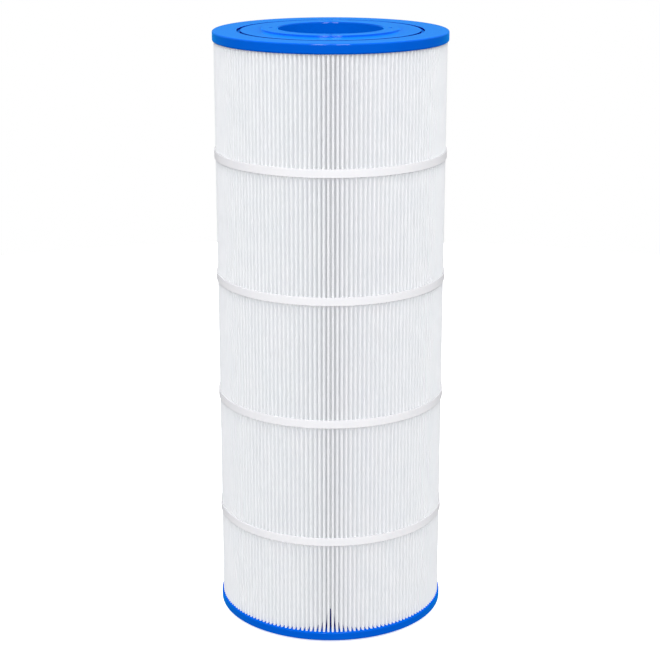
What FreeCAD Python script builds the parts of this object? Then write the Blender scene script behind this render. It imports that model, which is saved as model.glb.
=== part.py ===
import FreeCAD, Part
import math
import os

import Sketcher

# Pleated pool-filter cartridge. Z is the cartridge's axis and Z = 0 is the face of the lower hub.
# The strip of filter media is folded into pleats round a windowed core made of plugged sections.
# Both ends of the media and of the core are cast into urethane end caps, which are open in the
# middle. Four flat straps round the pleat tips keep the pleats evenly spaced.

DIMENSIONS = {
    # the whole cartridge
    "overall_length": 590.5,
    # end caps
    "cap_radius": 113.5,
    "top_rim_thickness": 9.8,
    "bottom_rim_thickness": 8.8,
    "cap_edge_radius": 1.5,
    "bore_radius": 50.8,
    "bore_edge_radius": 1.6,
    "skirt_drop": 4.2,
    "hub_radius": 66.2,
    "hub_raise": 1.9,
    "hub_edge_radius": 0.6,
    "hub_root_radius": 1.1,
    "groove_inner_radius": 86.7,
    "groove_outer_radius": 90.1,
    "groove_depth": 2.0,
    "groove_edge_radius": 0.3,
    "pin_mark_radius": 2.0,
    "pin_mark_circle_radius": 57.2,
    "pin_mark_depth": 4.9,
    "pin_mark_count": 4,
    # core sections
    "core_inner_radius": 54.5,
    "core_outer_radius": 58.5,
    "core_section_count": 5,
    "spigot_length": 6.0,
    "spigot_radius": 56.4,
    "socket_radius": 56.5,
    "socket_clearance": 0.2,
    "window_width": 15.0,
    "window_height": 11.5,
    "window_corner_radius": 2.0,
    "window_pitch": 16.5,
    "window_first_height": 10.5,
    "window_columns": 16,
    # filter media
    "media_thickness": 0.6,
    "pleat_count": 160,
    "pleat_tip_radius": 112.0,
    "pleat_root_radius": 58.8,
    "tip_fold_radius": 0.8,
    "root_fold_radius": 0.5,
    "potting_depth": 5.0,
    "seam_depth": 10.0,
    # straps
    "strap_count": 4,
    "strap_width": 8.0,
    "strap_inner_radius": 112.3,
    "strap_outer_radius": 113.2,
    "strap_edge_radius": 0.25,
    "strap_first_height": 107.2,
    "strap_pitch": 121.2,
    "strap_lap_raise": 0.25,
    "strap_lap_angle": 9.0,
    "adhesive_width": 6.5,
}
WINDOW_ROWS = 6
BACK_ANGLE = 90.0
TOLERANCE = 1e-4


def make_sheet(doc):
    """The spreadsheet of driving dimensions, one alias per row."""
    sheet = doc.addObject("Spreadsheet::Sheet", "dims")
    for row, (alias, number) in enumerate(DIMENSIONS.items(), 1):
        sheet.set(f"A{row}", alias)
        sheet.set(f"B{row}", str(number))
        sheet.setAlias(f"B{row}", alias)
    doc.recompute()
    return sheet


doc = FreeCAD.newDocument("filter_cartridge")
sheet = make_sheet(doc)


def dim(alias):
    """A driving dimension's present value."""
    return float(getattr(sheet, alias))


def value(expression):
    """What an expression in the sheet's dimensions comes to."""
    result = sheet.evalExpression(expression)
    return float(getattr(result, "Value", result))


# Levels and radii that several sub-parts share, as expressions
CORE_BOTTOM = "dims.pin_mark_depth"
SECTION_PITCH = (
    "(dims.overall_length - 2 * dims.pin_mark_depth - dims.spigot_length)"
    " / dims.core_section_count"
)
MEDIA_BOTTOM = "dims.hub_raise + dims.bottom_rim_thickness - dims.potting_depth"
MEDIA_LENGTH = (
    "dims.overall_length - 2 * dims.hub_raise - dims.top_rim_thickness"
    " - dims.bottom_rim_thickness + 2 * dims.potting_depth"
)


# ---------------------------------------------------------------- PartDesign helpers


def origin_plane(body, role):
    """One of a body's own origin planes or axes, by its role."""
    return next(o for o in body.Origin.OriginFeatures if o.Role == role)


def new_sketch(body, name, role, height=None):
    """A sketch on one of the body's origin planes, raised along its normal by an expression."""
    sketch = body.newObject("Sketcher::SketchObject", name)
    sketch.AttachmentSupport = (origin_plane(body, role), [""])
    sketch.MapMode = "FlatFace"
    if height is not None:
        sketch.setExpression("AttachmentOffset.Base.z", height)
    return sketch


def constrain(sketch, expression, kind, *references):
    """A dimension in the sketch whose value follows an expression."""
    index = sketch.addConstraint(Sketcher.Constraint(kind, *references, value(expression)))
    sketch.setExpression(f"Constraints[{index}]", expression)


def draw_outline(sketch, corners):
    """A closed outline of straight lines through corners, each two expressions."""
    points = [FreeCAD.Vector(value(x), value(y), 0) for x, y in corners]
    count = len(points)
    for k in range(count):
        sketch.addGeometry(Part.LineSegment(points[k], points[(k + 1) % count]))
    for k, (x, y) in enumerate(corners):
        sketch.addConstraint(Sketcher.Constraint("Coincident", (k - 1) % count, 2, k, 1))
        constrain(sketch, x, "DistanceX", k, 1)
        constrain(sketch, y, "DistanceY", k, 1)


def draw_circle(sketch, radius, across):
    """A circle on the sketch's horizontal axis, whose radius and place follow expressions."""
    centre = FreeCAD.Vector(value(across), 0, 0)
    circle = sketch.addGeometry(Part.Circle(centre, FreeCAD.Vector(0, 0, 1), value(radius)))
    constrain(sketch, radius, "Radius", circle)
    constrain(sketch, across, "DistanceX", circle, 3)
    sketch.addConstraint(Sketcher.Constraint("PointOnObject", circle, 3, -1))


def draw_window(sketch, low):
    """A rounded rectangle on the sketch's vertical axis, with its lower side at a height."""
    corner = dim("window_corner_radius")
    across = value("dims.window_width / 2") - corner
    bottom = value(low) + corner
    top = value(low) + dim("window_height") - corner
    first = sketch.GeometryCount
    corners = [(across, bottom, 270), (across, top, 0), (-across, top, 90), (-across, bottom, 180)]
    for x, y, start in corners:
        circle = Part.Circle(FreeCAD.Vector(x, y, 0), FreeCAD.Vector(0, 0, 1), corner)
        sketch.addGeometry(Part.ArcOfCircle(circle, math.radians(start), math.radians(start + 90)))
    for k in range(4):
        start = sketch.getPoint(first + k, 2)
        end = sketch.getPoint(first + (k + 1) % 4, 1)
        side = sketch.addGeometry(Part.LineSegment(start, end))
        sketch.addConstraint(Sketcher.Constraint("Tangent", first + k, 2, side, 1))
        sketch.addConstraint(Sketcher.Constraint("Tangent", side, 2, first + (k + 1) % 4, 1))
    right, upper, left, lower = (first + 4 + k for k in range(4))
    for k in range(1, 4):
        sketch.addConstraint(Sketcher.Constraint("Equal", first, first + k))
    sketch.addConstraint(Sketcher.Constraint("Vertical", right))
    sketch.addConstraint(Sketcher.Constraint("Horizontal", upper))
    constrain(sketch, "dims.window_corner_radius", "Radius", first)
    constrain(sketch, "dims.window_width / 2", "DistanceX", right, 1)
    constrain(sketch, "-dims.window_width / 2", "DistanceX", left, 1)
    constrain(sketch, low, "DistanceY", lower, 1)
    constrain(sketch, f"{low} + dims.window_height", "DistanceY", upper, 1)


def revolve(body, sketch):
    """A full turn of a sketch about the body's Z axis."""
    turned = body.newObject("PartDesign::Revolution", "revolution")
    turned.Profile = sketch
    turned.ReferenceAxis = (origin_plane(body, "Z_Axis"), [""])
    turned.Angle = 360.0
    doc.recompute()
    return turned


def circles_at(shape, radius, height):
    """The names of a shape's circular edges of this radius at this height."""
    names = []
    for k, edge in enumerate(shape.Edges, 1):
        curve = edge.Curve
        if not isinstance(curve, Part.Circle):
            continue
        if abs(curve.Radius - radius) < TOLERANCE and abs(curve.Center.z - height) < TOLERANCE:
            names.append(f"Edge{k}")
    return names


def round_circles(body, radius, circles):
    """Fillets the body's circular edges, each given as (radius, height) expressions."""
    before = body.Tip
    names = []
    for circle_radius, height in circles:
        names += circles_at(before.Shape, value(circle_radius), value(height))
    fillet = body.newObject("PartDesign::Fillet", "fillet")
    fillet.Base = (before, names)
    fillet.setExpression("Radius", radius)
    doc.recompute()
    return fillet


def cut_pocket(body, sketch, length):
    """Pockets a sketch to a length and makes sure that it removed something."""
    before = body.Shape.Volume
    pocket = body.newObject("PartDesign::Pocket", "pocket")
    pocket.Profile = sketch
    pocket.Type = "Length"
    pocket.setExpression("Length", length)
    doc.recompute()
    if pocket.Shape.Volume > before - 1:
        raise RuntimeError(f"{body.Label}: the pocket cut nothing")
    return pocket


def repeat_round(body, feature, count):
    """Repeats a feature evenly round the body's Z axis."""
    pattern = body.newObject("PartDesign::PolarPattern", "pattern")
    pattern.Originals = [feature]
    pattern.Axis = (origin_plane(body, "Z_Axis"), [""])
    pattern.Angle = 360.0
    pattern.setExpression("Occurrences", count)
    body.Tip = pattern
    doc.recompute()
    return pattern


def cut_by(label, base, tools):
    """base less each tool in turn; the last cut is the sub-part."""
    result = base
    for tool in tools:
        cut = doc.addObject("Part::Cut", f"{label}_cut")
        cut.Base = result
        cut.Tool = tool
        result = cut
    result.Label = label
    doc.recompute()
    return result


# ---------------------------------------------------------------- core


def make_core_moulding():
    """One moulded length of core: a windowed tube with a socket below and a spigot above."""
    body = doc.addObject("PartDesign::Body", "core_moulding")
    wall = new_sketch(body, "wall", "XZ_Plane")
    socket_depth = "dims.spigot_length + dims.socket_clearance"
    draw_outline(
        wall,
        [
            ("dims.socket_radius", "0"),
            ("dims.core_outer_radius", "0"),
            ("dims.core_outer_radius", SECTION_PITCH),
            ("dims.spigot_radius", SECTION_PITCH),
            ("dims.spigot_radius", f"{SECTION_PITCH} + dims.spigot_length"),
            ("dims.core_inner_radius", f"{SECTION_PITCH} + dims.spigot_length"),
            ("dims.core_inner_radius", socket_depth),
            ("dims.socket_radius", socket_depth),
        ],
    )
    revolve(body, wall)
    windows = new_sketch(body, "windows", "XZ_Plane")
    for row in range(WINDOW_ROWS):
        draw_window(windows, f"dims.window_first_height + {row} * dims.window_pitch")
    column = cut_pocket(body, windows, "dims.core_outer_radius + 1")
    repeat_round(body, column, "dims.window_columns")
    return body


def make_core_section(number, moulding):
    """The moulding at its place in the core, counted from the bottom."""
    section = doc.addObject("Part::Compound", f"core_section_{number}")
    section.Links = [moulding]
    section.setExpression("Placement.Base.z", f"{CORE_BOTTOM} + {number - 1} * ({SECTION_PITCH})")
    doc.recompute()
    return section


# ---------------------------------------------------------------- filter media


def polar(radius, angle):
    """A point in the cross-section, by radius and angle in radians."""
    return FreeCAD.Vector(radius * math.cos(angle), radius * math.sin(angle), 0)


def turned(vector, angle):
    """A vector turned about Z by an angle in radians."""
    return FreeCAD.Rotation(FreeCAD.Vector(0, 0, 1), math.degrees(angle)).multVec(vector)


class PleatSurface:
    """One face of the folded strip, offset from its middle by half its thickness either way."""

    def __init__(self, offset):
        half = dim("media_thickness") / 2
        self.count = int(dim("pleat_count"))
        self.tip_radius = dim("tip_fold_radius") + offset
        self.root_radius = dim("root_fold_radius") - offset
        self.tip_circle = dim("pleat_tip_radius") - dim("tip_fold_radius") - half
        self.root_circle = dim("pleat_root_radius") + dim("root_fold_radius") + half
        self.step = 2 * math.pi / self.count

    def angle(self, k):
        """Pleat k's direction. The seam pleat, k = 0, is half a pitch past the back."""
        return math.radians(BACK_ANGLE) + (k + 0.5) * self.step

    def wall(self, k, side):
        """Tip end and root end of pleat k's wall on the side +1 or -1."""
        tip = polar(self.tip_circle, self.angle(k))
        root = polar(self.root_circle, self.angle(k + side / 2))
        along = root - tip
        lean = math.acos((self.tip_radius + self.root_radius) / along.Length)
        normal = turned(along.normalize(), -side * lean)
        return tip + normal * self.tip_radius, root - normal * self.root_radius

    def tip_fold(self, k):
        """The arc over the tip of pleat k."""
        apex = polar(self.tip_circle + self.tip_radius, self.angle(k))
        return Part.Arc(self.wall(k, -1)[0], apex, self.wall(k, 1)[0]).toShape()

    def root_fold(self, k):
        """The arc at the root between pleat k and the next."""
        apex = polar(self.root_circle - self.root_radius, self.angle(k + 0.5))
        return Part.Arc(self.wall(k, 1)[1], apex, self.wall(k + 1, -1)[1]).toShape()

    def edges(self):
        """Walls and folds in order, from the seam right round and back to it."""
        chain = []
        for k in range(self.count):
            if k > 0:
                chain.append(self.tip_fold(k))
            chain.append(Part.LineSegment(*self.wall(k, 1)).toShape())
            chain.append(self.root_fold(k))
            chain.append(Part.LineSegment(*reversed(self.wall(k + 1, -1))).toShape())
        return chain


def line(start, end):
    return Part.LineSegment(start, end).toShape()


def pleat_surfaces():
    """The outer and the inner face of the strip."""
    half = dim("media_thickness") / 2
    return PleatSurface(half), PleatSurface(-half)


def extrude_section(label, face):
    """A cross-section drawn out over the media's length, at the media's place."""
    section = doc.addObject("Part::Feature", f"{label}_section")
    section.Shape = face
    column = doc.addObject("Part::Extrusion", label)
    column.Base = section
    column.DirMode = "Custom"
    column.Dir = FreeCAD.Vector(0, 0, 1)
    column.Solid = True
    column.setExpression("LengthFwd", MEDIA_LENGTH)
    column.setExpression("Placement.Base.z", MEDIA_BOTTOM)
    doc.recompute()
    return column


def make_media():
    """The folded strip. Its two cut ends stand side by side at the seam pleat."""
    outer, inner = pleat_surfaces()
    last = outer.count
    near_end = line(inner.wall(0, 1)[0], outer.wall(0, 1)[0])
    far_end = line(outer.wall(last, -1)[0], inner.wall(last, -1)[0])
    back = [edge.reversed() for edge in reversed(inner.edges())]
    outline = Part.Wire([near_end] + outer.edges() + [far_end] + back)
    return extrude_section("pleated_media", Part.Face(outline))


def make_seam_bead():
    """Hot melt that joins the strip's two ends and rounds off the seam pleat's tip."""
    outer, inner = pleat_surfaces()

    def inside(side):
        tip, root = inner.wall(0, side)
        return tip + (root - tip).normalize() * dim("seam_depth")

    outline = Part.Wire(
        [
            line(inside(-1), inner.wall(0, -1)[0]),
            line(inner.wall(0, -1)[0], outer.wall(0, -1)[0]),
            outer.tip_fold(0),
            line(outer.wall(0, 1)[0], inner.wall(0, 1)[0]),
            line(inner.wall(0, 1)[0], inside(1)),
            line(inside(1), inside(-1)),
        ]
    )
    return extrude_section("seam_bead", Part.Face(outline))


# ---------------------------------------------------------------- straps


def strap_height(number):
    """The middle of a strap, as an expression."""
    return f"dims.strap_first_height + {number - 1} * dims.strap_pitch"


def tube_sector(name, inner, outer, width, angle="360"):
    """A round tube or part of one, standing on Z = 0, with its middle at the back."""
    parts = []
    for kind, radius in (("outer", outer), ("inner", inner)):
        cylinder = doc.addObject("Part::Cylinder", f"{name}_{kind}")
        cylinder.setExpression("Radius", radius)
        cylinder.setExpression("Height", width)
        cylinder.setExpression("Angle", angle if kind == "outer" else "360")
        parts.append(cylinder)
    tube = doc.addObject("Part::Cut", f"{name}_tube")
    tube.Base, tube.Tool = parts
    doc.recompute()
    return tube


def make_strap(number):
    """A flat strap with rounded edges, whose welded lap stands proud at the back."""
    label = f"strap_{number}"
    ring = tube_sector(
        f"{label}_ring", "dims.strap_inner_radius", "dims.strap_outer_radius", "dims.strap_width"
    )
    rounded = doc.addObject("Part::Fillet", f"{label}_rounded")
    rounded.Base = ring
    outer, edge_radius = dim("strap_outer_radius"), dim("strap_edge_radius")
    rims = circles_at(ring.Shape, outer, 0) + circles_at(ring.Shape, outer, dim("strap_width"))
    rounded.Edges = [(int(name[4:]), edge_radius, edge_radius) for name in rims]
    lap = tube_sector(
        f"{label}_lap",
        "(dims.strap_inner_radius + dims.strap_outer_radius) / 2",
        "dims.strap_outer_radius + dims.strap_lap_raise",
        "dims.strap_width - 2 * dims.strap_edge_radius",
        "dims.strap_lap_angle",
    )
    lap.setExpression("Placement.Base.z", "dims.strap_edge_radius")
    turn = FreeCAD.Rotation(FreeCAD.Vector(0, 0, 1), BACK_ANGLE - dim("strap_lap_angle") / 2)
    lap.Placement.Rotation = turn
    strap = doc.addObject("Part::Fuse", f"{label}_fused")
    strap.Base, strap.Tool = rounded, lap
    strap.Label = label
    strap.setExpression("Placement.Base.z", f"{strap_height(number)} - dims.strap_width / 2")
    doc.recompute()
    return strap


def make_adhesive(number):
    """The hot-melt film between a strap and the pleat tips."""
    film = tube_sector(
        f"strap_adhesive_{number}",
        "dims.pleat_tip_radius",
        "dims.strap_inner_radius",
        "dims.adhesive_width",
    )
    film.Label = f"strap_adhesive_{number}"
    film.setExpression("Placement.Base.z", f"{strap_height(number)} - dims.adhesive_width / 2")
    doc.recompute()
    return film


# ---------------------------------------------------------------- end caps


def make_cap_casting(name, rim_thickness):
    """One end cap as a plain casting. Its bore skirt stands on Z = 0 and its hub faces up."""
    body = doc.addObject("PartDesign::Body", name)
    inner_face = "dims.skirt_drop"
    outer_face = f"dims.skirt_drop + {rim_thickness}"
    hub_face = f"{outer_face} + dims.hub_raise"
    groove_floor = f"{outer_face} - dims.groove_depth"
    profile = new_sketch(body, "profile", "XZ_Plane")
    draw_outline(
        profile,
        [
            ("dims.bore_radius", "0"),
            ("dims.core_inner_radius", "0"),
            ("dims.core_inner_radius", inner_face),
            ("dims.cap_radius", inner_face),
            ("dims.cap_radius", outer_face),
            ("dims.groove_outer_radius", outer_face),
            ("dims.groove_outer_radius", groove_floor),
            ("dims.groove_inner_radius", groove_floor),
            ("dims.groove_inner_radius", outer_face),
            ("dims.hub_radius", outer_face),
            ("dims.hub_radius", hub_face),
            ("dims.bore_radius", hub_face),
        ],
    )
    revolve(body, profile)
    rim = [("dims.cap_radius", inner_face), ("dims.cap_radius", outer_face)]
    bore = [("dims.bore_radius", hub_face), ("dims.bore_radius", "0")]
    groove = [("dims.groove_outer_radius", outer_face), ("dims.groove_inner_radius", outer_face)]
    round_circles(body, "dims.cap_edge_radius", rim)
    round_circles(body, "dims.bore_edge_radius", bore)
    round_circles(body, "dims.groove_edge_radius", groove)
    round_circles(body, "dims.hub_edge_radius", [("dims.hub_radius", hub_face)])
    round_circles(body, "dims.hub_root_radius", [("dims.hub_radius", outer_face)])
    marks = new_sketch(body, "marks", "XY_Plane", hub_face)
    draw_circle(marks, "dims.pin_mark_radius", "dims.pin_mark_circle_radius")
    mark = cut_pocket(body, marks, "dims.pin_mark_depth")
    repeat_round(body, mark, "dims.pin_mark_count")
    return body


def make_end_caps(media, bead, core_sections):
    """Both caps, each cast round the ends of the media, the seam bead and the core."""
    top = make_cap_casting("top_casting", "dims.top_rim_thickness")
    top.setExpression(
        "Placement.Base.z",
        "dims.overall_length - dims.hub_raise - dims.top_rim_thickness - dims.skirt_drop",
    )
    bottom = make_cap_casting("bottom_casting", "dims.bottom_rim_thickness")
    bottom.Placement.Rotation = FreeCAD.Rotation(FreeCAD.Vector(1, 0, 0), 180)
    bottom.setExpression(
        "Placement.Base.z", "dims.hub_raise + dims.bottom_rim_thickness + dims.skirt_drop"
    )
    doc.recompute()
    return [
        cut_by("top_end_cap", top, [core_sections[-1], bead, media]),
        cut_by("bottom_end_cap", bottom, [core_sections[0], bead, media]),
    ]


# ---------------------------------------------------------------- the cartridge


def check(parts):
    """Stops on any failed object, and on a sub-part without valid closed solids."""
    for item in doc.Objects:
        if "Invalid" in item.State or "Error" in item.State:
            raise RuntimeError(f"{item.Name} failed: {item.State}")
    for part in parts:
        shape = part.Shape
        if shape.isNull() or not shape.isValid() or not shape.Solids:
            raise RuntimeError(f"{part.Label} has no valid solid")


def main():
    moulding = make_core_moulding()
    section_numbers = range(1, int(dim("core_section_count")) + 1)
    core_sections = [make_core_section(k, moulding) for k in section_numbers]
    media = make_media()
    bead = make_seam_bead()
    strap_numbers = range(1, int(dim("strap_count")) + 1)
    straps = [make_strap(k) for k in strap_numbers]
    adhesives = [make_adhesive(k) for k in strap_numbers]
    caps = make_end_caps(media, bead, core_sections)
    parts = caps + [media, bead] + straps + adhesives + core_sections
    doc.recompute()
    check(parts)
    os.makedirs("parts", exist_ok=True)
    for part in parts:
        part.Shape.exportStep(f"parts/{part.Label}.step")
        box = part.Shape.BoundBox
        print(
            f"{part.Label}: solids {len(part.Shape.Solids)}, faces {len(part.Shape.Faces)},"
            f" volume {part.Shape.Volume / 1000:.1f} cm3,"
            f" z {box.ZMin:.2f} to {box.ZMax:.2f}, radius {box.XMax:.2f}"
        )


main()
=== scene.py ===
import math

import bmesh
import bpy
import numpy as np
from mathutils import Matrix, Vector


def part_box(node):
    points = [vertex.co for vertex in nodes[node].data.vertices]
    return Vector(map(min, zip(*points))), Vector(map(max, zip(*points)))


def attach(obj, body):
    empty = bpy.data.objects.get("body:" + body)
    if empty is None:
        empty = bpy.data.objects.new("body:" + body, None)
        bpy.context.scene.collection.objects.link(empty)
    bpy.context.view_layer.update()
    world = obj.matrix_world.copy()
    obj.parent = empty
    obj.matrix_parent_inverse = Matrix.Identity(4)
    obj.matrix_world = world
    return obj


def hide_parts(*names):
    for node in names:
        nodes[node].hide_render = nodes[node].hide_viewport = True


# Looks of a pleated pool-filter cartridge: white spunbonded media between two blue urethane caps,
# white straps round the pleats and a windowed core inside. Everything is in metres, and +Z is the
# cartridge's axis. The front, towards the camera, is -Y.

# The folded media, as the CAD has it, but for a rounder fold at the root
PLEAT_COUNT = 160
TIP_RADIUS = 0.112
ROOT_RADIUS = 0.0588
SHEET_THICKNESS = 0.0006
TIP_FOLD_RADIUS = 0.0008
ROOT_FOLD_RADIUS = 0.0008
POTTING_DEPTH = 0.005

# The bearing of the back, where the seam is
BACK = math.pi / 2

# The end caps' cross-section, as the CAD has it
CAP_RADIUS = 0.1135
CAP_EDGE_RADIUS = 0.0015
BORE_RADIUS = 0.0508
BORE_EDGE_RADIUS = 0.0016
SKIRT_RADIUS = 0.0545
SKIRT_DROP = 0.0042
HUB_RADIUS = 0.0662
HUB_RAISE = 0.0019
HUB_EDGE_RADIUS = 0.0006
HUB_ROOT_RADIUS = 0.0011
GROOVE_RADII = (0.0867, 0.0901)
GROOVE_DEPTH = 0.002
GROOVE_EDGE_RADIUS = 0.0003
PIN_MARK_RADIUS = 0.002
PIN_MARK_CIRCLE = 0.0572
PIN_MARK_DEPTH = 0.0049
PIN_MARK_COUNT = 4

# How far past the bore's wall its painted shade starts to fade
BORE_SHADE_FADE = 0.0005

# How finely the caps are meshed
CAP_SEGMENTS = 320
PIN_MARK_SEGMENTS = 40
CORNER_POINTS = 7

# How near to a cap's surface a face's middle lies when it is part of that surface
TOLERANCE = 0.00005

# A face is a wall when its normal rises less than this, and an edge is sharp past this angle
WALL_RISE = 0.4
SHARP_DEGREES = 35

# How finely the media is meshed
TIP_POINTS = 7
ROOT_POINTS = 4
LEVELS_PER_PANEL = 5

# How unevenly it is folded. Between the straps each tip strays sideways along three waves, which
# reach about WAVES_TOGETHER when added, and falls short along one. The waves are in radians per
# metre of height. The strays ease in from a strap and die away from tip to root, by these powers.
TIP_WANDER = 0.00002
WANDER_WAVES = (18, 41, 64)
WAVES_TOGETHER = 1.6
TIP_SHORTFALL = 0.00005
SHORTFALL_WAVE = 31
EASE_IN = 0.8
DIE_AWAY = 1.5
SEED = 7

STRAPS = ["strap_1", "strap_2", "strap_3", "strap_4"]
ADHESIVES = ["strap_adhesive_1", "strap_adhesive_2", "strap_adhesive_3", "strap_adhesive_4"]
CORE = ["core_section_1", "core_section_2", "core_section_3", "core_section_4", "core_section_5"]

# The camera, as fitted to the photo: its pitch in degrees, its lens and its sensor in millimetres
CAMERA_PLACE = (-0.0006, -1.6305, 0.7700)
CAMERA_PITCH = 16.43
CAMERA_LENS = 92.18
CAMERA_SENSOR = 36.0

FLOOR_RADIUS = 1.6

# The surround's brightness low down and high up, and the heights, as the sine of the elevation,
# between which it changes: as a light, and as the gloss reflects it
SURROUND_LIGHT = (0.37, 1.14, -0.25, 0.35)
SURROUND_REFLECTED = (0.0, 0.10, -0.08, 0.12)

# The softboxes: distance from the axis, height, size and power. The key is a wide bar high up, and
# the fill a tall narrow one further off. Two strips, left and right, show only in the gloss.
KEY = (1.8, 3.6, (4.0, 0.3), 62)
FILL = (6.0, 3.5, (0.15, 3.0), 60)
LAMP_AIM = (0, 0, 0.3)
STRIP_PLACE = (0.95, -4.5, 4.4)
STRIP_SIZE = (1.3, 4.0)
STRIP_POWER = 110
STRIP_AIM = (0, 0, 0.5)

# How far off a thing still shades a surface, and how strongly the surround lights it. These two set
# the contrast between the pleats' tips and folds.
SHADING_REACH = 0.0025
SURROUND_GAIN = 1.38
BOUNCES = 2


# ---------------------------------------------------------------- material helpers


class Nodes:
    """A new material's node tree, with short calls for the nodes used here."""

    def __init__(self, name):
        self.material = bpy.data.materials.new(name)
        self.material.use_nodes = True
        self.tree = self.material.node_tree
        self.shader = self.tree.nodes["Principled BSDF"]
        coordinates = self.add("ShaderNodeTexCoord").outputs
        self.place, self.facing = coordinates["Object"], coordinates["Normal"]

    def add(self, kind, **inputs):
        node = self.tree.nodes.new(kind)
        for name, value in inputs.items():
            self.feed(node.inputs[name.replace("_", " ")], value)
        return node

    def feed(self, socket, value):
        if isinstance(value, bpy.types.NodeSocket):
            self.tree.links.new(value, socket)
        else:
            socket.default_value = value

    def stretched(self, scale):
        """Object coordinates stretched by a factor along each axis."""
        node = self.add("ShaderNodeMapping", Vector=self.place, Scale=scale)
        return node.outputs["Vector"]

    def noise(self, scale, detail=4.0, roughness=0.55, distortion=0.0, at=None):
        node = self.add(
            "ShaderNodeTexNoise",
            Vector=at or self.place,
            Scale=scale,
            Detail=detail,
            Roughness=roughness,
            Distortion=distortion,
        )
        return node.outputs["Fac"]

    def from_axis(self):
        """The distance from the cartridge's axis."""
        node = self.add("ShaderNodeVectorMath", Vector=self.stretched((1, 1, 0)))
        node.operation = "LENGTH"
        return node.outputs["Value"]

    def ranged(self, value, low, high, start=0.3, end=0.7):
        """value from start to end, mapped to low to high and clamped."""
        node = self.tree.nodes.new("ShaderNodeMapRange")
        for name, number in (
            ("From Min", start),
            ("From Max", end),
            ("To Min", low),
            ("To Max", high),
        ):
            node.inputs[name].default_value = number
        self.feed(node.inputs["Value"], value)
        return node.outputs["Result"]

    def blend(self, share, first, second):
        """A colour between first and second."""
        node = self.tree.nodes.new("ShaderNodeMix")
        node.data_type = "RGBA"
        self.feed(node.inputs["Factor"], share)
        self.feed(node.inputs["A"], first)
        self.feed(node.inputs["B"], second)
        return node.outputs["Result"]

    def math(self, operation, first, second):
        node = self.tree.nodes.new("ShaderNodeMath")
        node.operation = operation
        self.feed(node.inputs[0], first)
        self.feed(node.inputs[1], second)
        return node.outputs["Value"]

    def bump(self, height, distance, strength=1.0, under=None):
        node = self.add("ShaderNodeBump", Height=height, Distance=distance, Strength=strength)
        if under is not None:
            self.feed(node.inputs["Normal"], under)
        return node.outputs["Normal"]

    def set(self, **inputs):
        for name, value in inputs.items():
            self.feed(self.shader.inputs[name.replace("_", " ")], value)


def rgb(red, green, blue):
    return (red, green, blue, 1.0)


# ---------------------------------------------------------------- materials


def media_material():
    """Spunbonded polyester: matted fine fibres, faint cloudiness where they lie thicker. A faint
    glow just behind the tips and by the core stands for the light that comes through the sheet."""
    n = Nodes("spunbond_polyester")
    clouds = n.noise(45.0, detail=3.0)
    upright, lying = n.stretched((2600, 2600, 520)), n.stretched((800, 800, 1900))
    fibres = n.math(
        "ADD",
        n.noise(1.0, detail=5.0, roughness=0.7, distortion=1.2, at=upright),
        n.noise(1.0, detail=4.0, roughness=0.65, distortion=2.0, at=lying),
    )
    pale = n.blend(n.ranged(clouds, 0.0, 1.0), rgb(0.855, 0.872, 0.900), rgb(0.885, 0.895, 0.918))
    colour = n.blend(n.ranged(fibres, 0.0, 0.22, 0.8, 1.25), pale, rgb(0.84, 0.855, 0.88))
    # The glow by the distance from the axis: a band behind the tips, and a fade out from the core
    radius = n.from_axis()
    behind_tips = n.math(
        "MINIMUM",
        n.ranged(radius, 0.0, 0.06, 0.096, 0.107),
        n.ranged(radius, 0.06, 0.0, 0.108, TIP_RADIUS),
    )
    by_core = n.ranged(radius, 0.13, 0.0, 0.062, 0.104)
    n.set(
        Base_Color=colour,
        Roughness=n.ranged(fibres, 0.78, 0.95, 0.7, 1.3),
        Specular_IOR_Level=0.3,
        Sheen_Weight=0.15,
        Sheen_Roughness=0.5,
        Emission_Color=rgb(0.97, 0.98, 1.0),
        Emission_Strength=n.math("ADD", behind_tips, by_core),
        Normal=n.bump(fibres, 0.00012, 0.12),
    )
    return n.material


def urethane_material():
    """Cast blue urethane: glossy, with a faint pour ripple and a bloom that lightens it at a slant,
    with painted light that makes its flat faces a little lighter, and painted shade that makes it
    darker round the bore's edges."""
    n = Nodes("blue_urethane")
    pour = n.noise(16.0, detail=2.0, distortion=0.6)
    ripple = n.noise(30.0, detail=2.0, distortion=0.4)
    facing = n.add("ShaderNodeSeparateXYZ", Vector=n.facing).outputs["Z"]
    # Painted light: faces that look up or down get a lighter, greener blue than the sides
    flat = n.ranged(n.math("ABSOLUTE", facing, 0.0), 0.0, 1.0, 0.85, 0.99)
    side = n.blend(n.ranged(pour, 0.0, 1.0), rgb(0.0, 0.104, 0.66), rgb(0.0, 0.116, 0.70))
    face = n.blend(n.ranged(pour, 0.0, 1.0), rgb(0.0, 0.125, 0.72), rgb(0.0, 0.135, 0.76))
    # Painted shade: the sides darken to a deeper blue towards the bore's edge
    past_bore_shade = n.ranged(n.from_axis(), 0.0, 1.0, BORE_RADIUS + BORE_SHADE_FADE, SKIRT_RADIUS)
    wall = n.blend(past_bore_shade, rgb(0.0, 0.078, 0.50), side)
    n.set(
        Base_Color=n.blend(flat, wall, face),
        Roughness=n.ranged(n.noise(260.0, detail=5.0, roughness=0.65), 0.07, 0.11),
        Sheen_Weight=0.8,
        Sheen_Roughness=0.4,
        Sheen_Tint=rgb(0.015, 0.37, 1.0),
        IOR=1.5,
        Specular_IOR_Level=0.5,
        Normal=n.bump(ripple, 0.0001, 0.06),
    )
    return n.material


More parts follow.
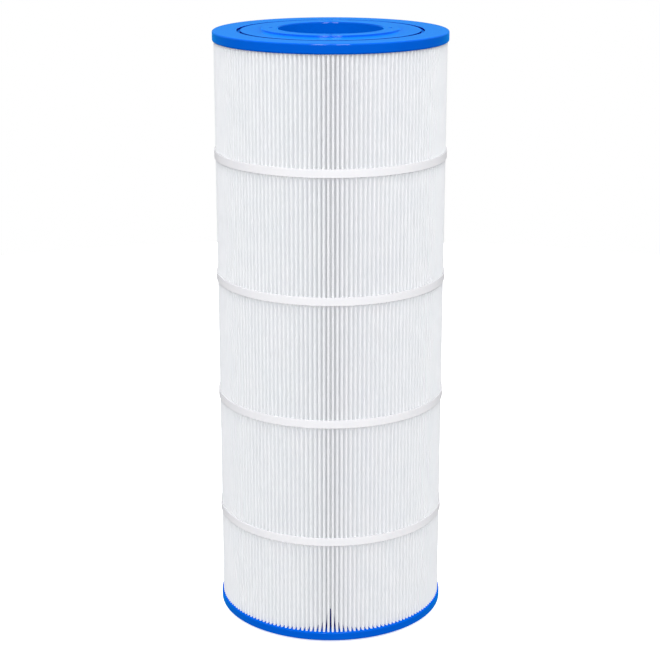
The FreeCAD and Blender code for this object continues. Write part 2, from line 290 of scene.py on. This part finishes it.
def recess_shade_material():
    """The same urethane where it stays dull, down between the folds, on the groove's walls and in
    the bore, with painted shade: navy, and bluer in the bore and towards the rim."""
    n = Nodes("blue_urethane_painted_shade")
    pour = n.noise(16.0, detail=2.0, distortion=0.6)
    grain = n.noise(260.0, detail=5.0, roughness=0.65)
    # Painted shade: deep navy down between the folds and on the groove's walls, fading to a
    # lighter, bluer shade in the bore and towards the rim
    painted_deep_shade = n.blend(n.ranged(pour, 0.0, 1.0), rgb(0.0, 0.003, 0.15), rgb(0.0, 0.005, 0.19))
    radius = n.from_axis()
    in_bore = n.ranged(radius, 1.0, 0.0, BORE_RADIUS + BORE_SHADE_FADE, SKIRT_RADIUS)
    inner = n.blend(in_bore, painted_deep_shade, rgb(0.0, 0.088, 0.52))
    near_rim = n.ranged(radius, 0.0, 1.0, 0.098, TIP_RADIUS)
    n.set(
        Base_Color=n.blend(near_rim, inner, rgb(0.0, 0.10, 0.62)),
        Roughness=n.ranged(grain, 0.55, 0.75),
        Specular_IOR_Level=0.0,
        Normal=n.bump(grain, 0.00005, 0.2),
    )
    return n.material


def strap_material():
    """Smooth white extruded strap with faint lengthwise die lines, and painted shade on its
    top and bottom edges.
    """
    n = Nodes("white_strap")
    facing = n.add("ShaderNodeSeparateXYZ", Vector=n.facing).outputs["Z"]
    # Painted shade: the faces that look up or down, the strap's top and bottom edges, are darker
    painted_edge_shade = n.ranged(n.math("ABSOLUTE", facing, 0.0), 0.0, 1.0, 0.4, 0.9)
    lines = n.noise(1.0, detail=3.0, at=n.stretched((30, 30, 2600)))
    tone = n.noise(60.0, detail=3.0)
    smooth = n.blend(n.ranged(tone, 0.0, 1.0), rgb(0.90, 0.90, 0.935), rgb(0.93, 0.925, 0.95))
    n.set(
        Base_Color=n.blend(painted_edge_shade, smooth, rgb(0.66, 0.66, 0.69)),
        Roughness=n.ranged(n.noise(420.0, detail=4.0), 0.38, 0.52),
        Specular_IOR_Level=0.4,
        Normal=n.bump(lines, 0.00004, 0.4),
    )
    return n.material


def core_material():
    """White moulded plastic with a fine eroded mould texture and soft flow marks."""
    n = Nodes("white_core_plastic")
    flow = n.noise(1.0, detail=3.0, distortion=0.8, at=n.stretched((70, 70, 18)))
    grain = n.noise(1800.0, detail=3.0, roughness=0.6)
    n.set(
        Base_Color=n.blend(n.ranged(flow, 0.0, 1.0), rgb(0.74, 0.75, 0.755), rgb(0.80, 0.81, 0.81)),
        Roughness=n.ranged(grain, 0.34, 0.5),
        Normal=n.bump(grain, 0.00003, 0.4),
    )
    return n.material


def hot_melt_material():
    """Ivory hot-melt adhesive: waxy, with soft lumps."""
    n = Nodes("hot_melt")
    lumps = n.noise(320.0, detail=2.0, distortion=0.7)
    n.set(
        Base_Color=n.blend(n.ranged(lumps, 0.0, 1.0), rgb(0.80, 0.78, 0.71), rgb(0.87, 0.86, 0.81)),
        Roughness=n.ranged(lumps, 0.3, 0.45),
        Normal=n.bump(lumps, 0.0003, 0.6),
    )
    return n.material


def floor_material():
    """Plain matt white that glows, so that it reads as white as the surround."""
    n = Nodes("floor")
    n.set(
        Base_Color=rgb(0.86, 0.86, 0.86),
        Emission_Color=rgb(1.0, 1.0, 1.0),
        Emission_Strength=0.6,
        Roughness=0.9,
        Specular_IOR_Level=0.1,
    )
    return n.material


def paint(obj, material):
    obj.data.materials.clear()
    obj.data.materials.append(material)


# ---------------------------------------------------------------- the folded media


class FoldSurface:
    """One face of the folded strip in cross-section, offset from its middle either way."""

    def __init__(self, offset):
        half = SHEET_THICKNESS / 2
        self.side = math.copysign(1, offset)
        self.tip_radius = TIP_FOLD_RADIUS + offset
        self.root_radius = ROOT_FOLD_RADIUS - offset
        self.tip_circle = TIP_RADIUS - TIP_FOLD_RADIUS - half
        self.root_circle = ROOT_RADIUS + ROOT_FOLD_RADIUS + half
        self.step = 2 * math.pi / PLEAT_COUNT
        across = self.step / 2
        outward = self.root_circle * math.cos(across) - self.tip_circle
        sideways = self.root_circle * math.sin(across)
        lean = math.acos((self.tip_radius + self.root_radius) / math.hypot(outward, sideways))
        self.wall_angle = math.atan2(sideways, outward) - lean

    def angle(self, k):
        """Pleat k's direction. The seam pleat, k = 0, is half a pitch past the back."""
        return BACK + (k + 0.5) * self.step

    def tip(self, k, first=-1.0, last=1.0):
        """Points and normals over pleat k's tip. Wall to wall is from -1 to 1."""
        turn = self.angle(k) + self.wall_angle * np.linspace(first, last, TIP_POINTS)
        normals = np.stack([np.cos(turn), np.sin(turn)], 1)
        centre = np.array([math.cos(self.angle(k)), math.sin(self.angle(k))]) * self.tip_circle
        return centre + normals * self.tip_radius, normals * self.side

    def root(self, k):
        """Points and normals round the fold between pleat k and the next."""
        middle = self.angle(k) + self.step / 2
        lean = self.wall_angle - self.step / 2
        turn = middle + math.pi - lean * np.linspace(-1, 1, ROOT_POINTS)
        outward = np.stack([np.cos(turn), np.sin(turn)], 1)
        centre = np.array([math.cos(middle), math.sin(middle)]) * self.root_circle
        return centre + outward * self.root_radius, -outward * self.side

    def end(self, k, where):
        """The single point and normal where the strip is cut, on one side of pleat k's tip."""
        points, normals = self.tip(k, where, where)
        return points[:1], normals[:1]

    def chain(self):
        """Points and normals in order along the strip, and the pleat that each belongs to."""
        parts = [(0, self.end(0, 1.0)), (0, self.root(0))]
        for k in range(1, PLEAT_COUNT):
            parts += [(k, self.tip(k)), (k, self.root(k))]
        parts.append((PLEAT_COUNT, self.end(PLEAT_COUNT, -1.0)))
        points = np.concatenate([points for _, (points, _) in parts])
        normals = np.concatenate([normals for _, (_, normals) in parts])
        owners = np.concatenate([np.full(len(points), k) for k, (points, _) in parts])
        return points, normals, owners


def media_levels(low, high, held):
    """Heights of the media's rings, and how free the tips are there, from 0 where held to 1."""
    stops = [low + POTTING_DEPTH] + held + [high - POTTING_DEPTH]
    heights, free = [low], [0.0]
    for start, end in zip(stops, stops[1:]):
        for t in np.arange(LEVELS_PER_PANEL) / LEVELS_PER_PANEL:
            heights.append(start + t * (end - start))
            free.append(math.sin(math.pi * t) ** EASE_IN)
    heights += [stops[-1], high]
    free += [0.0, 0.0]
    return np.array(heights), np.array(free)


def tip_offsets(heights, free):
    """Sideways wander and radial shortfall of each pleat tip at each height, both in metres."""
    rng = np.random.default_rng(SEED)
    count = PLEAT_COUNT + 1
    phase = rng.uniform(0, 2 * math.pi, (3, count))
    sway = rng.normal(0, 1, (3, count))
    up = heights[:, None]
    waves = [sway[i] * np.sin(up * WANDER_WAVES[i] + phase[i]) for i in range(3)]
    wander = free[:, None] * TIP_WANDER * sum(waves) / WAVES_TOGETHER
    dip = rng.uniform(0, 1, count) * (0.6 + 0.4 * np.sin(up * SHORTFALL_WAVE + phase[0]))
    shortfall = free[:, None] * TIP_SHORTFALL * dip
    for offsets in (wander, shortfall):
        offsets[:, 0] = 0
        offsets[:, -1] = 0
    return wander, shortfall


def sheet_face(offset, heights, wander, shortfall):
    """The vertices and normals of one face of the strip, as rows of columns, with uneven tips."""
    flat, outward, owner = FoldSurface(offset).chain()
    radius = np.linalg.norm(flat, axis=1)
    bearing = np.arctan2(flat[:, 1], flat[:, 0])
    share = np.clip((radius - ROOT_RADIUS) / (TIP_RADIUS - ROOT_RADIUS), 0, 1) ** DIE_AWAY
    turned = bearing + share * wander[:, owner] / radius
    drawn = radius - share * shortfall[:, owner]
    rings = np.stack([drawn * np.cos(turned), drawn * np.sin(turned)], 2)
    tall = np.broadcast_to(heights[:, None, None], rings.shape[:2] + (1,))
    vertices = np.concatenate([rings, tall], 2)
    level = np.concatenate([outward, np.zeros((len(outward), 1))], 1)
    return vertices, np.broadcast_to(level, vertices.shape)


def sheet_quads(rows, columns):
    """The faces of a closed sheet: the outer vertices come first, row by row, then the inner."""

    def at(face, row, column):
        return (face * rows + row) * columns + column

    quads = []
    row, column = np.meshgrid(np.arange(rows - 1), np.arange(columns - 1), indexing="ij")
    for face in (0, 1):
        corners = [at(face, row, column), at(face, row, column + 1)]
        corners += [at(face, row + 1, column + 1), at(face, row + 1, column)]
        quads.append(np.stack(corners[:: 1 - 2 * face], 2).reshape(-1, 4))
    column = np.arange(columns - 1)
    for level, way in ((0, -1), (rows - 1, 1)):
        rim = [at(0, level, column), at(0, level, column + 1)]
        rim += [at(1, level, column + 1), at(1, level, column)]
        quads.append(np.stack(rim[::way], 1))
    row = np.arange(rows - 1)
    for end, way in ((0, 1), (columns - 1, -1)):
        rim = [at(0, row, end), at(0, row + 1, end)]
        rim += [at(1, row + 1, end), at(1, row, end)]
        quads.append(np.stack(rim[::way], 1))
    return np.concatenate(quads)


def make_media(held):
    """The whole strip as one closed mesh, and its flat size. Its tips are even where it is held."""
    low, high = (corner.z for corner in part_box("pleated_media"))
    heights, free = media_levels(low, high, held)
    wander, shortfall = tip_offsets(heights, free)
    half = SHEET_THICKNESS / 2
    sides = [sheet_face(offset, heights, wander, shortfall) for offset in (half, -half)]
    vertices = np.concatenate([points.reshape(-1, 3) for points, _ in sides])
    normals = np.concatenate([outward.reshape(-1, 3) for _, outward in sides])
    rows, columns = sides[0][0].shape[:2]
    mesh = bpy.data.meshes.new("media")
    mesh.from_pydata(vertices.tolist(), [], sheet_quads(rows, columns).tolist())
    mesh.validate()
    mesh.shade_smooth()
    mesh.normals_split_custom_set_from_vertices(normals.tolist())
    media = bpy.data.objects.new("media", mesh)
    bpy.context.scene.collection.objects.link(media)
    strip = FoldSurface(0.0).chain()[0]
    length = float(np.linalg.norm(np.diff(strip, axis=0), axis=1).sum())
    return media, (high - low, length)


# ---------------------------------------------------------------- the end caps


def rounded(corners):
    """The outline through right-angled corners, each (radius, height, rounding), with its arcs."""
    outline = []
    turns = np.linspace(0, math.pi / 2, CORNER_POINTS)
    for k, (radius, height, rounding) in enumerate(corners):
        corner = np.array([radius, height])
        before = np.array(corners[k - 1][:2]) - corner
        after = np.array(corners[(k + 1) % len(corners)][:2]) - corner
        before, after = before / np.linalg.norm(before), after / np.linalg.norm(after)
        centre = corner + (before + after) * rounding
        for turn in turns:
            outline.append(centre - (after * math.cos(turn) + before * math.sin(turn)) * rounding)
    return np.array(outline)


def cap_outline(height):
    """A cap's cross-section. Its skirt stands on height 0 and its hub faces up."""
    face = height - HUB_RAISE
    inner, outer = GROOVE_RADII
    edge = GROOVE_EDGE_RADIUS
    return rounded(
        [
            (BORE_RADIUS, 0, BORE_EDGE_RADIUS),
            (SKIRT_RADIUS, 0, edge),
            (SKIRT_RADIUS, SKIRT_DROP, edge),
            (CAP_RADIUS, SKIRT_DROP, CAP_EDGE_RADIUS),
            (CAP_RADIUS, face, CAP_EDGE_RADIUS),
            (outer, face, edge),
            (outer, face - GROOVE_DEPTH, edge),
            (inner, face - GROOVE_DEPTH, edge),
            (inner, face, edge),
            (HUB_RADIUS, face, HUB_ROOT_RADIUS),
            (HUB_RADIUS, height, HUB_EDGE_RADIUS),
            (BORE_RADIUS, height, BORE_EDGE_RADIUS),
        ]
    )


def lathe(name, outline, segments):
    """A closed solid of revolution about Z from a closed outline of (radius, height) points."""
    turn = np.arange(segments) * 2 * math.pi / segments
    radius, height = outline[:, 0, None], outline[:, 1, None]
    across = np.broadcast_to(height, (len(outline), segments))
    vertices = np.stack([radius * np.cos(turn), radius * np.sin(turn), across], 2)
    row, column = np.meshgrid(np.arange(len(outline)), np.arange(segments), indexing="ij")
    next_row, next_column = (row + 1) % len(outline), (column + 1) % segments
    corners = [(row, column), (row, next_column), (next_row, next_column), (next_row, column)]
    faces = np.stack([r * segments + c for r, c in corners], 2)
    mesh = bpy.data.meshes.new(name)
    mesh.from_pydata(vertices.reshape(-1, 3).tolist(), [], faces.reshape(-1, 4).tolist())
    solid = bpy.data.objects.new(name, mesh)
    bpy.context.scene.collection.objects.link(solid)
    return solid


def pin_marks(height):
    """A cutter for the marks that the mould's pins leave in the hub, each with a rounded floor."""
    pins = bmesh.new()
    for k in range(PIN_MARK_COUNT):
        turn = 2 * math.pi * k / PIN_MARK_COUNT
        pin = bmesh.ops.create_cone(
            pins,
            cap_ends=True,
            segments=PIN_MARK_SEGMENTS,
            radius1=PIN_MARK_RADIUS,
            radius2=PIN_MARK_RADIUS,
            depth=2 * PIN_MARK_DEPTH,
        )
        place = (PIN_MARK_CIRCLE * math.cos(turn), PIN_MARK_CIRCLE * math.sin(turn), height)
        bmesh.ops.translate(pins, verts=pin["verts"], vec=place)
    floor_edges = [e for e in pins.edges if e.calc_face_angle() > 1 and e.verts[0].co.z < height]
    bmesh.ops.bevel(
        pins, geom=floor_edges, offset=PIN_MARK_RADIUS / 3, segments=4, profile=0.5, affect="EDGES"
    )
    mesh = bpy.data.meshes.new("pin_marks")
    pins.to_mesh(mesh)
    pins.free()
    cutter = bpy.data.objects.new("pin_marks", mesh)
    bpy.context.scene.collection.objects.link(cutter)
    return cutter


def apply_modifiers(obj):
    """Leaves the object with the mesh that its modifiers give."""
    view = bpy.context.evaluated_depsgraph_get()
    plain = obj.data
    obj.data = bpy.data.meshes.new_from_object(obj.evaluated_get(view))
    obj.modifiers.clear()
    bpy.data.meshes.remove(plain)


def make_cap(name, node, hub_up, materials):
    """A cap turned to its outline, with its pin marks, in the place of the CAD's. It has the first
    material, but the second on the bore's and groove's walls and the face with the folds."""
    low, high = (corner.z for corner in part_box(node))
    height = high - low
    cap = lathe(name, cap_outline(height), CAP_SEGMENTS)
    cutter = pin_marks(height)
    marks = cap.modifiers.new("marks", "BOOLEAN")
    marks.operation, marks.solver, marks.object = "DIFFERENCE", "EXACT", cutter
    apply_modifiers(cap)
    bpy.data.objects.remove(cutter)
    if hub_up:
        cap.data.transform(Matrix.Translation((0, 0, low)))
    else:
        cap.data.transform(Matrix.Translation((0, 0, high)) @ Matrix.Rotation(math.pi, 4, "X"))
    cap.data.shade_smooth()
    cap.data.set_sharp_from_angle(angle=math.radians(SHARP_DEGREES))
    cap.modifiers.new("flat_faces_stay_flat", "WEIGHTED_NORMAL").keep_sharp = True
    apply_modifiers(cap)
    for material in materials:
        cap.data.materials.append(material)
    # The second material, on the bore's and groove's walls and the face with the folds, is painted
    # shade
    inner_face = low + SKIRT_DROP if hub_up else high - SKIRT_DROP
    for polygon in cap.data.polygons:
        radius = polygon.center.xy.length
        wall = abs(polygon.normal.z) < WALL_RISE
        in_bore = wall and radius < BORE_RADIUS + TOLERANCE
        in_groove = wall and GROOVE_RADII[0] - TOLERANCE < radius < GROOVE_RADII[1]
        on_inner_face = not wall and abs(polygon.center.z - inner_face) < CAP_EDGE_RADIUS
        polygon.material_index = int(in_bore or in_groove or on_inner_face)
    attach(cap, "root")
    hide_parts(node)


# ---------------------------------------------------------------- stage


def make_floor():
    """A pale round table under the cartridge. Neither the diffuse light nor the gloss sees it."""
    bpy.ops.mesh.primitive_circle_add(vertices=128, radius=FLOOR_RADIUS, fill_type="NGON")
    floor = bpy.context.object
    floor.name = "floor"
    floor.visible_glossy = False
    floor.visible_diffuse = False
    paint(floor, floor_material())


def make_world():
    """A pale surround, dim below and bright above. The camera sees it as plain white, and the
    gloss sees it almost dark, as in a light tent with its sides in shade."""
    world = bpy.data.worlds.new("studio")
    bpy.context.scene.world = world
    world.use_nodes = True
    tree = world.node_tree
    way = tree.nodes.new("ShaderNodeTexCoord")
    split = tree.nodes.new("ShaderNodeSeparateXYZ")
    tree.links.new(way.outputs["Generated"], split.inputs["Vector"])

    def graded(below, above, start, end):
        rise = tree.nodes.new("ShaderNodeMapRange")
        rise.interpolation_type = "SMOOTHSTEP"
        rise.inputs["From Min"].default_value = start
        rise.inputs["From Max"].default_value = end
        rise.inputs["To Min"].default_value = below
        rise.inputs["To Max"].default_value = above
        tree.links.new(split.outputs["Z"], rise.inputs["Value"])
        return rise.outputs["Result"]

    def chosen(share, usual, special):
        node = tree.nodes.new("ShaderNodeMix")
        tree.links.new(share, node.inputs["Factor"])
        tree.links.new(usual, node.inputs["A"])
        if isinstance(special, bpy.types.NodeSocket):
            tree.links.new(special, node.inputs["B"])
        else:
            node.inputs["B"].default_value = special
        return node.outputs["Result"]

    ray = tree.nodes.new("ShaderNodeLightPath").outputs
    lit = chosen(ray["Is Glossy Ray"], graded(*SURROUND_LIGHT), graded(*SURROUND_REFLECTED))
    world.cycles.sampling_method = "NONE"
    background = tree.nodes["Background"]
    background.inputs["Color"].default_value = rgb(1, 1, 1)
    tree.links.new(chosen(ray["Is Camera Ray"], lit, 1.0), background.inputs["Strength"])


def make_softbox(name, place, target, size, power, use="diffuse"):
    """A rectangular softbox that lights either the diffuse surfaces or the gloss."""
    light = bpy.data.lights.new(name, "AREA")
    light.shape = "RECTANGLE"
    light.size, light.size_y = size
    light.energy = power
    lamp = bpy.data.objects.new(name, light)
    lamp.location = place
    aim = np.array(target) - np.array(place)
    flat = math.hypot(aim[0], aim[1])
    lamp.rotation_euler = (math.atan2(flat, -aim[2]), 0, math.atan2(-aim[0], aim[1]))
    lamp.visible_glossy = use == "gloss"
    lamp.visible_diffuse = use == "diffuse"
    bpy.context.scene.collection.objects.link(lamp)


def make_camera():
    data = bpy.data.cameras.new("camera")
    data.lens = CAMERA_LENS
    data.sensor_width = CAMERA_SENSOR
    camera = bpy.data.objects.new("camera", data)
    camera.location = CAMERA_PLACE
    camera.rotation_euler = (math.radians(90 - CAMERA_PITCH), 0, 0)
    bpy.context.scene.collection.objects.link(camera)
    bpy.context.scene.camera = camera


# ---------------------------------------------------------------- the scene

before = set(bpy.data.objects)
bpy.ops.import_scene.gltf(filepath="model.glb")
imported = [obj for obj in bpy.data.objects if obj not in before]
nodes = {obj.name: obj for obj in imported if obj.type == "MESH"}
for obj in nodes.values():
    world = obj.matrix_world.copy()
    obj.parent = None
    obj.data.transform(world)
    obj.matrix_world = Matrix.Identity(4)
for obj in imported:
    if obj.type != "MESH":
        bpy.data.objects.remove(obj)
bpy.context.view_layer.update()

for names, material in (
    (STRAPS, strap_material()),
    (ADHESIVES + ["seam_bead"], hot_melt_material()),
    (CORE, core_material()),
):
    for name in names:
        paint(nodes[name], material)

urethanes = [urethane_material(), recess_shade_material()]
make_cap("top_cap", "top_end_cap", True, urethanes)
make_cap("bottom_cap", "bottom_end_cap", False, urethanes)

strap_heights = [sum(corner.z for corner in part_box(name)) / 2 for name in STRAPS]
media, flat_size = make_media(strap_heights)
paint(media, media_material())
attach(media, "root")
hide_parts("pleated_media")

make_floor()
make_world()
for side, way in (("front", -1), ("back", 1)):
    for kind, (distance, height, size, power) in (("key", KEY), ("fill", FILL)):
        make_softbox(f"{side}_{kind}", (0, way * distance, height), LAMP_AIM, size, power)
for side, way in (("left", -1), ("right", 1)):
    place = (way * STRIP_PLACE[0],) + STRIP_PLACE[1:]
    make_softbox(f"strip_{side}", place, STRIP_AIM, STRIP_SIZE, STRIP_POWER, use="gloss")
make_camera()

scene = bpy.context.scene
scene.view_settings.view_transform = "Standard"
scene.cycles.use_fast_gi = True
scene.cycles.fast_gi_method = "REPLACE"
scene.cycles.ao_bounces_render = BOUNCES
scene.world.light_settings.distance = SHADING_REACH
scene.world.light_settings.ao_factor = SURROUND_GAIN
